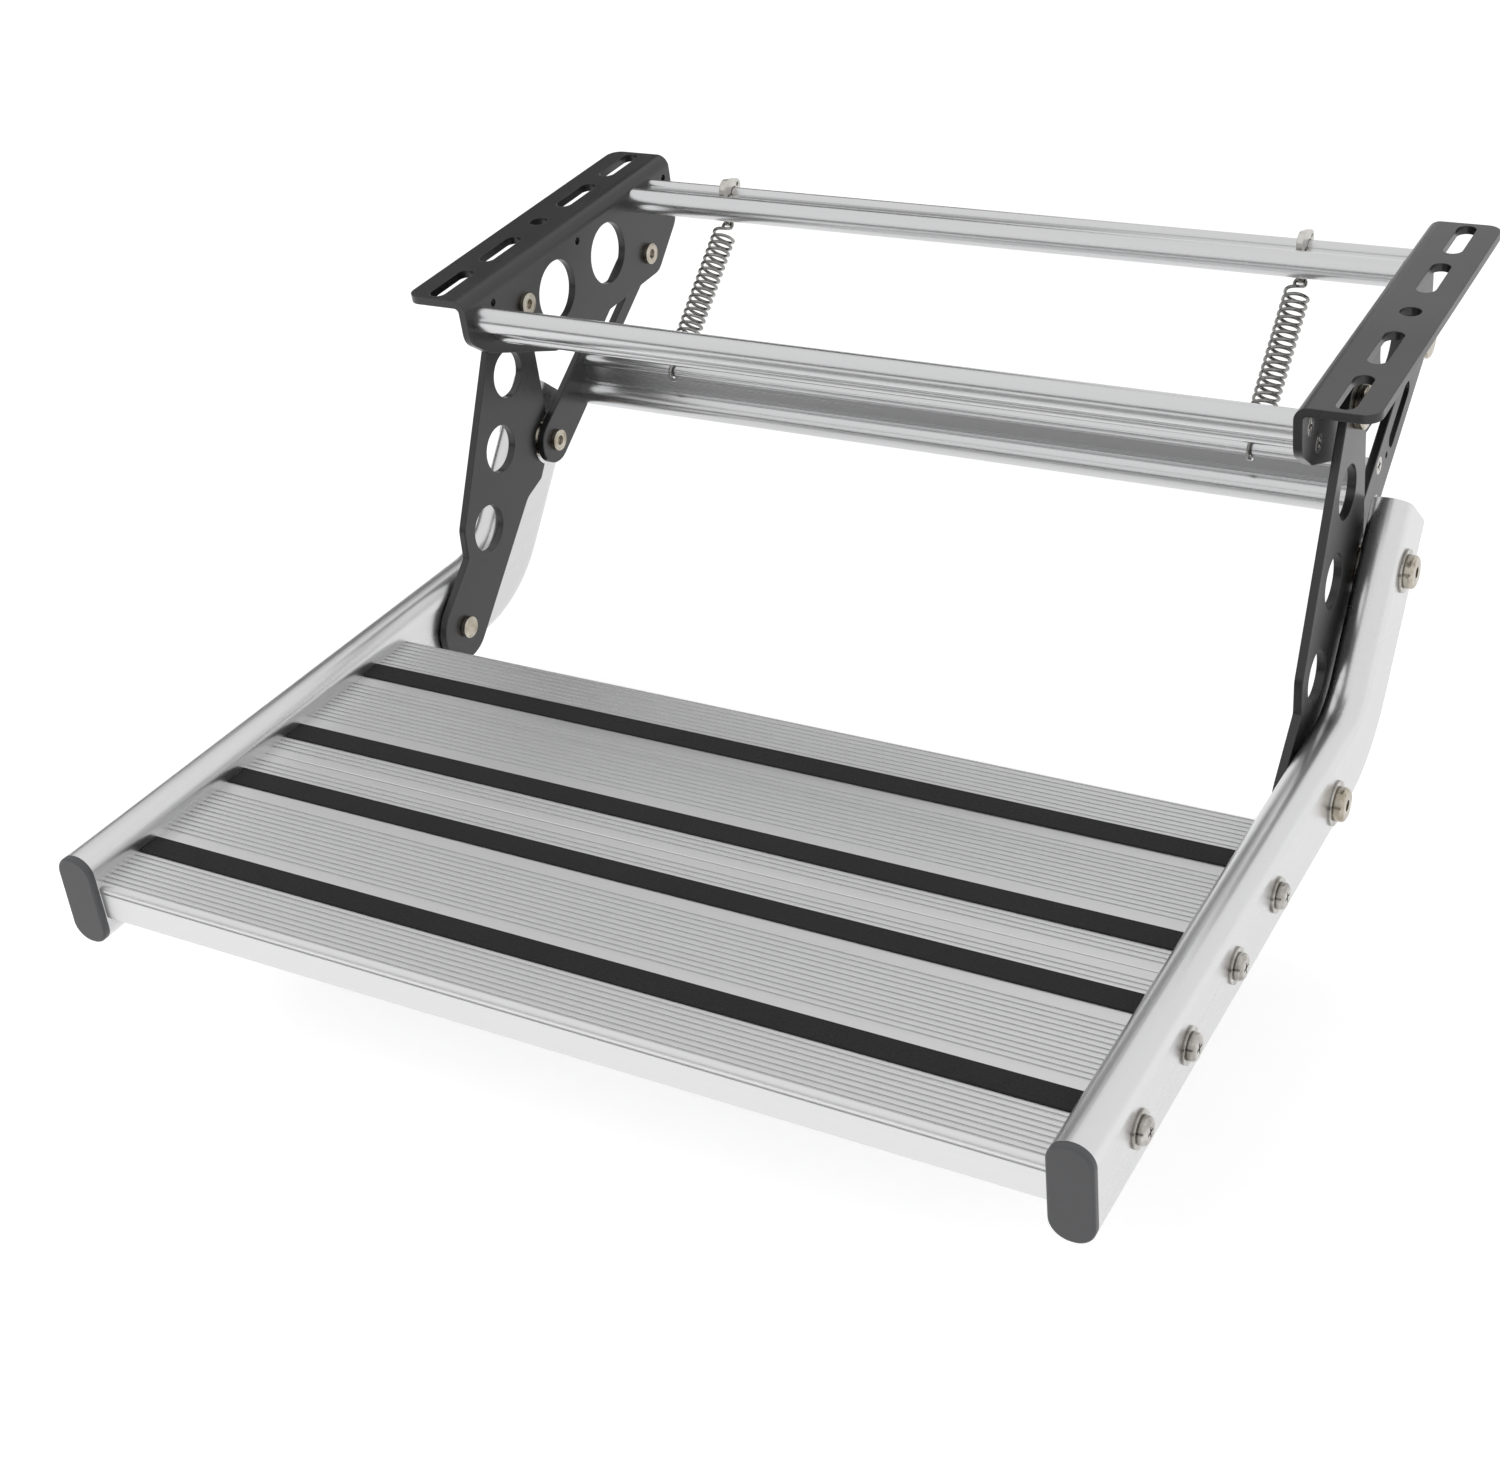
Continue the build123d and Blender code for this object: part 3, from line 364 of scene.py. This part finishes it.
# Bushes between brackets and arms: turned from black acetal, matte and a little waxy.
# Each sits on its pivot bolt and keeps the two plates apart.
bush_black = coated(
    "black_acetal",
    specular=0.4,
    colours=((0.018, 0.018, 0.018), (0.03, 0.03, 0.03)),
    edge_colour=None,
    roughness=(0.42, 0.55),
    rough_by="Patch",
    grain_scale=900.0,
    patch_scale=14.0,
    depth=0.00002,
)
give_finish(bush_black, "front_pivot_bushes", "rear_pivot_bushes")

# Arms: four arms cut from 5 mm steel plate, edges broken, coated like the brackets.
# They hang on the brackets' pivots and carry the tread.
give_finish(powder_black, "front_arm_left", "front_arm_right", "rear_arm_left", "rear_arm_right")

# Side rails: extruded aluminium with a rounded section, bent up behind, anodised
# natural. The die lines run along the rail.
rail_aluminium = anodised(
    "anodised_rail_aluminium",
    colours=((0.65, 0.65, 0.653), (0.69, 0.69, 0.693)),
    roughness=(0.27, 0.3),
    turn=math.radians(90),
)
give_finish(rail_aluminium, "side_rail_left", "side_rail_right")

# Tread boards: two hollow aluminium extrusions with a rounded nose and fine grooves,
# anodised natural, screwed between the rails.
board_aluminium = anodised(
    "anodised_board_aluminium",
    colours=((0.69, 0.69, 0.693), (0.73, 0.73, 0.733)),
    roughness=(0.4, 0.43),
    # Painted shade in the grooves.
    groove_dark=0.08,
)
give_finish(board_aluminium, "front_tread_board", "rear_tread_board")

# Rail caps and plugs: moulded in grey plastic with a fine spark texture, pressed into
# the rails' ends.
cap_grey = coated(
    "moulded_grey_plastic",
    specular=0.35,
    colours=((0.085, 0.086, 0.09), (0.096, 0.097, 0.1)),
    # Edge colour: partly wear, partly a painted highlight on the rounded rim.
    edge_colour=(0.2, 0.2, 0.205),
    roughness=(0.38, 0.48),
    rough_by="Grain",
    grain_scale=1300.0,
    patch_scale=14.0,
    depth=0.00009,
)
give_finish(cap_grey, "rail_cap_left", "rail_cap_right", "rail_rear_plugs")

# Anti-slip strips: black rubber, extruded and pulled into the boards' seats, matte
# with a fine grip along the top.
strip_rubber = coated(
    "black_strip_rubber",
    specular=0.3,
    colours=((0.009, 0.009, 0.009), (0.017, 0.017, 0.017)),
    edge_colour=None,
    roughness=(0.62, 0.8),
    rough_by="Grain",
    grain_scale=1100.0,
    patch_scale=30.0,
    depth=0.00015,
)
give_finish(
    strip_rubber,
    "front_board_front_strip",
    "front_board_rear_strip",
    "rear_board_front_strip",
    "rear_board_rear_strip",
)

# Spring lugs: two pieces cut from 4 mm steel and plated. Each drops through its slot in the
# rear crossbar's rib, arches back over the bead, and holds a spring in its lower eye.
LUG_OFFSET = 0.196
LUG_HALF_THICKNESS = 0.002
LUG_EDGE = 0.0004
BAR_PLACE = (0.0755, -0.0135)
BAR_TILT = math.radians(5)
RIB_TOP = 0.0015
BEAD_MIDDLE = (0.022, 0)
BEAD_CLEAR_RADIUS = 0.0043
STEM_FRONT = 0.0096
STEM_REAR = 0.0164
EYE_DROP = 0.0165
EYE_RADIUS = 0.0017
CREST_MIDDLE = (0.0166, 0.0048)
CREST_RADIUS = 0.0070
TIP_MIDDLE = (0.0270, 0.0030)
TIP_RADIUS = 0.0048
TIP_EYE_PLACE = (0.0279, 0.0039)
TIP_EYE_RADIUS = 0.0015
ARC_STEPS = 12
MERGE_DISTANCE = 0.00001
SHARP_ANGLE = math.radians(35)


def lug_arc(middle, radius, first, last):
    """Points of an arc in the bar's own side view, between two angles in degrees."""
    points = []
    for step in range(ARC_STEPS + 1):
        turn = math.radians(first + (last - first) * step / ARC_STEPS)
        points.append((middle[0] + radius * math.cos(turn), middle[1] + radius * math.sin(turn)))
    return points


def lug_hole(middle, radius):
    """Points round a hole, the last one short of the first."""
    return lug_arc(middle, radius, 0, 360)[:-1]


lug_zinc = zinc_plated(
    "clouded_zinc_plate",
    colours=((0.5, 0.485, 0.45), (0.64, 0.625, 0.59)),
    roughness=(0.26, 0.38),
)
stem_half = (STEM_REAR - STEM_FRONT) / 2
eye_place = ((STEM_REAR + STEM_FRONT) / 2, -EYE_DROP)
lug_outline = [
    (STEM_FRONT, RIB_TOP),
    *lug_arc(CREST_MIDDLE, CREST_RADIUS, 180, 65),
    *lug_arc(TIP_MIDDLE, TIP_RADIUS, 60, -80),
    *lug_arc(BEAD_MIDDLE, BEAD_CLEAR_RADIUS, -5, 160),
    (STEM_REAR, RIB_TOP),
    *lug_arc(eye_place, stem_half, 0, -180),
]
lug_holes = [lug_hole(eye_place, EYE_RADIUS), lug_hole(TIP_EYE_PLACE, TIP_EYE_RADIUS)]
for side_name, side in (("left", -1), ("right", 1)):
    bpy.ops.object.select_all(action="DESELECT")
    bpy.ops.curve.primitive_nurbs_path_add(rotation=(math.radians(90), 0, math.radians(90)))
    lug = bpy.context.object
    lug.name = f"{side_name}_spring_lug"
    curve = lug.data
    curve.splines.clear()
    curve.dimensions = "2D"
    curve.fill_mode = "BOTH"
    for outline in (lug_outline, *lug_holes):
        spline = curve.splines.new("POLY")
        spline.points.add(len(outline) - 1)
        spline.use_cyclic_u = True
        for point, (rearwards, upwards) in zip(spline.points, outline):
            spot_y = BAR_PLACE[0] + rearwards * math.cos(BAR_TILT) - upwards * math.sin(BAR_TILT)
            spot_z = BAR_PLACE[1] + rearwards * math.sin(BAR_TILT) + upwards * math.cos(BAR_TILT)
            point.co = (spot_y, spot_z, 0, 1)
    curve.extrude = LUG_HALF_THICKNESS - LUG_EDGE
    curve.offset = -LUG_EDGE
    curve.bevel_depth = LUG_EDGE
    curve.bevel_resolution = 2
    bpy.ops.object.convert(target="MESH")
    lug = bpy.context.object
    lug.location.x = side * LUG_OFFSET
    bpy.ops.object.transform_apply(location=True, rotation=True, scale=True)
    bpy.ops.object.mode_set(mode="EDIT")
    bpy.ops.mesh.select_all(action="SELECT")
    bpy.ops.mesh.remove_doubles(threshold=MERGE_DISTANCE)
    bpy.ops.mesh.normals_make_consistent(inside=False)
    bpy.ops.object.mode_set(mode="OBJECT")
    bpy.ops.object.shade_smooth_by_angle(angle=SHARP_ANGLE)
    lug.data.materials.clear()
    lug.data.materials.append(lug_zinc)
    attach(lug, "chassis")
    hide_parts("spring_lugs")

# Return springs: spring wire wound cold, with a side loop above and a hook below,
# zinc plated after winding. They hang from the lugs to the lower crossbar's bead.
SPRING_OFFSET = 0.196
SPRING_TOP = Vector((0.0, 0.08989, -0.02880))
SPRING_FOOT = Vector((0.0, -0.00067, -0.09596))
COIL_RADIUS = 0.0074
WIRE_RADIUS = 0.00105
COIL_TURNS = 18.75
LOOP_RADIUS = 0.0034
LOOP_ANGLES = (-130, 130)
HOOK_RADIUS = 0.0060
HOOK_ANGLES = (40, 310)
END_RISE = 0.0026
END_STEPS = 13
STEPS_A_TURN = 16

spring_length = (SPRING_FOOT - SPRING_TOP).length
down = (SPRING_FOOT - SPRING_TOP).normalized()
across = Vector((1, 0, 0))
aside = down.cross(across)


def wire_end(middle, radius, angles, outwards):
    """Points of a loop or hook round a middle, in the plane of the spring and one way out."""
    points = []
    for step in range(END_STEPS + 1):
        turn = math.radians(angles[0] + (angles[1] - angles[0]) * step / END_STEPS)
        points.append(middle - down * (radius * math.cos(turn)) + outwards * (radius * math.sin(turn)))
    return points


def wire_coil():
    """Points of the coil between the loop and the hook."""
    start = 2 * LOOP_RADIUS + END_RISE
    pitch = (spring_length - HOOK_RADIUS - END_RISE - start) / COIL_TURNS
    points = []
    for step in range(int(COIL_TURNS * STEPS_A_TURN) + 1):
        turn = 2 * math.pi * step / STEPS_A_TURN
        outwards = aside * math.cos(turn) - across * math.sin(turn)
        points.append(outwards * COIL_RADIUS + down * (start + pitch * step / STEPS_A_TURN))
    return points


spring_steel = zinc_plated(
    "zinc_plated_spring_wire",
    colours=((0.22, 0.215, 0.21), (0.34, 0.335, 0.325)),
    roughness=(0.22, 0.3),
)
wire_line = [
    *wire_end(down * LOOP_RADIUS, LOOP_RADIUS, LOOP_ANGLES, across),
    *wire_coil(),
    *wire_end(down * spring_length, HOOK_RADIUS, HOOK_ANGLES, aside),
]
for side_name, side in (("left", -1), ("right", 1)):
    top = SPRING_TOP + across * (side * SPRING_OFFSET)
    bpy.ops.object.select_all(action="DESELECT")
    bpy.ops.curve.primitive_nurbs_path_add()
    spring = bpy.context.object
    spring.name = f"{side_name}_return_spring"
    curve = spring.data
    curve.splines.clear()
    spline = curve.splines.new("NURBS")
    spline.points.add(len(wire_line) - 1)
    for point, spot in zip(spline.points, wire_line):
        point.co = (*(spot + top), 1.0)
    spline.order_u = 4
    spline.use_endpoint_u = True
    spline.resolution_u = 2
    curve.bevel_depth = WIRE_RADIUS
    curve.bevel_resolution = 3
    curve.use_fill_caps = True
    bpy.ops.object.convert(target="MESH")
    spring = bpy.context.object
    bpy.ops.object.shade_smooth()
    spring.data.materials.clear()
    spring.data.materials.append(spring_steel)
    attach(spring, "springs")
    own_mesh(spring)
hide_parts("return_springs")

# Studio: a plain white floor under the step, a white room round it, two soft lamps, and
# grey cards that give the metal something darker to mirror.
FLOOR_SIZE = 14
FLOOR_DROP = 0.30
FLOOR_GLOW = 0.45
ROOM_LIGHT = 0.55
ROOM_WHITE = 1.0
WHITE = (1.0, 1.0, 1.0, 1.0)
FLOOR_WHITE = (0.9, 0.9, 0.9, 1.0)


def seen_or_mirrored(tree):
    """1 for a ray from the camera, off a glossy surface or through glass, else 0."""
    path = tree.nodes.new("ShaderNodeLightPath")
    total = path.outputs["Is Camera Ray"]
    for kind in ("Is Glossy Ray", "Is Transmission Ray"):
        either = tree.nodes.new("ShaderNodeMath")
        either.operation = "ADD"
        either.use_clamp = True
        tree.links.new(total, either.inputs[0])
        tree.links.new(path.outputs[kind], either.inputs[1])
        total = either.outputs["Value"]
    return total


def matte_material(name, colour, specular):
    """A plain matte paint for what stands round the step."""
    material = bpy.data.materials.new(name)
    material.use_nodes = True
    shader = material.node_tree.nodes["Principled BSDF"]
    shader.inputs["Base Color"].default_value = colour
    shader.inputs["Roughness"].default_value = 0.9
    shader.inputs["Specular IOR Level"].default_value = specular
    return material


bpy.ops.object.select_all(action="DESELECT")
bpy.ops.mesh.primitive_plane_add(size=FLOOR_SIZE, location=(0, 0, 0))
floor = bpy.context.object
floor.name = "studio_floor"
for vertex in floor.data.vertices:
    vertex.co.z = -FLOOR_DROP
floor_white = matte_material("studio_floor_white", FLOOR_WHITE, specular=0.1)
floor_shader = floor_white.node_tree.nodes["Principled BSDF"]
glow = floor_white.node_tree.nodes.new("ShaderNodeMath")
glow.operation = "MULTIPLY"
glow.inputs[1].default_value = FLOOR_GLOW
floor_white.node_tree.links.new(seen_or_mirrored(floor_white.node_tree), glow.inputs[0])
floor_white.node_tree.links.new(glow.outputs["Value"], floor_shader.inputs["Emission Strength"])
floor_shader.inputs["Emission Color"].default_value = WHITE
floor.data.materials.append(floor_white)

world = bpy.data.worlds.new("white_room")
bpy.context.scene.world = world
world.use_nodes = True
room = world.node_tree.nodes["Background"]
room.inputs["Color"].default_value = WHITE
level = world.node_tree.nodes.new("ShaderNodeMapRange")
level.inputs["To Min"].default_value = ROOM_LIGHT
level.inputs["To Max"].default_value = ROOM_WHITE
world.node_tree.links.new(seen_or_mirrored(world.node_tree), level.inputs["Value"])
world.node_tree.links.new(level.outputs["Result"], room.inputs["Strength"])


def soft_box(name, location, target, size, power):
    """A large square soft lamp that faces a point and isn't mirrored itself."""
    lamp = bpy.data.lights.new(name, "AREA")
    lamp.shape = "RECTANGLE"
    lamp.size = size
    lamp.size_y = size
    lamp.energy = power
    holder = bpy.data.objects.new(name, lamp)
    bpy.context.scene.collection.objects.link(holder)
    holder.location = location
    holder.rotation_euler = (Vector(target) - Vector(location)).to_track_quat("-Z", "Y").to_euler()
    holder.visible_glossy = False


STEP_MIDDLE = (0, -0.1, -0.1)
soft_box("key_lamp", (-1.2, -1.4, 2.2), STEP_MIDDLE, size=2.6, power=26)
soft_box("fill_lamp", (2.2, -0.6, 1.0), STEP_MIDDLE, size=2.2, power=9)


def grey_card(name, location, turn, width, height, shade):
    """A grey card that only shows itself in the metal, as a photographer's flag does."""
    bpy.ops.object.select_all(action="DESELECT")
    bpy.ops.mesh.primitive_plane_add(size=1, location=location, rotation=(math.radians(90), 0, turn))
    card = bpy.context.object
    card.name = name
    card.scale = (width, height, 1)
    bpy.ops.object.transform_apply(location=True, rotation=True, scale=True)
    card.visible_camera = False
    card.visible_diffuse = False
    card.visible_shadow = False
    card.data.materials.append(matte_material(f"{name}_paper", (shade, shade, shade, 1.0), specular=0.0))


grey_card("front_card", (-1.0, -3.6, 0.15), turn=0, width=7.0, height=0.9, shade=0.1)
grey_card("rear_card", (-3.0, 3.3, 1.6), turn=0, width=3.2, height=2.0, shade=0.1)
grey_card("left_card", (-3.5, 0.5, 0.35), turn=math.radians(90), width=5.0, height=1.3, shade=0.12)

# Camera: the photograph's viewpoint, worked out from the step's own edges.
# Its shift only puts the step where the photograph has it in the frame.
camera_data = bpy.data.cameras.new("photograph")
camera_data.lens = 55.87
camera_data.sensor_width = 36
camera_data.shift_x = -0.0083
camera_data.shift_y = -0.0315
camera = bpy.data.objects.new("photograph", camera_data)
camera.location = (0.5937, -1.1592, 0.5555)
camera.rotation_euler = (math.radians(56.71), math.radians(6.71), math.radians(28.77))
bpy.context.scene.collection.objects.link(camera)
bpy.context.scene.camera = camera
bpy.context.scene.view_settings.view_transform = "Standard"
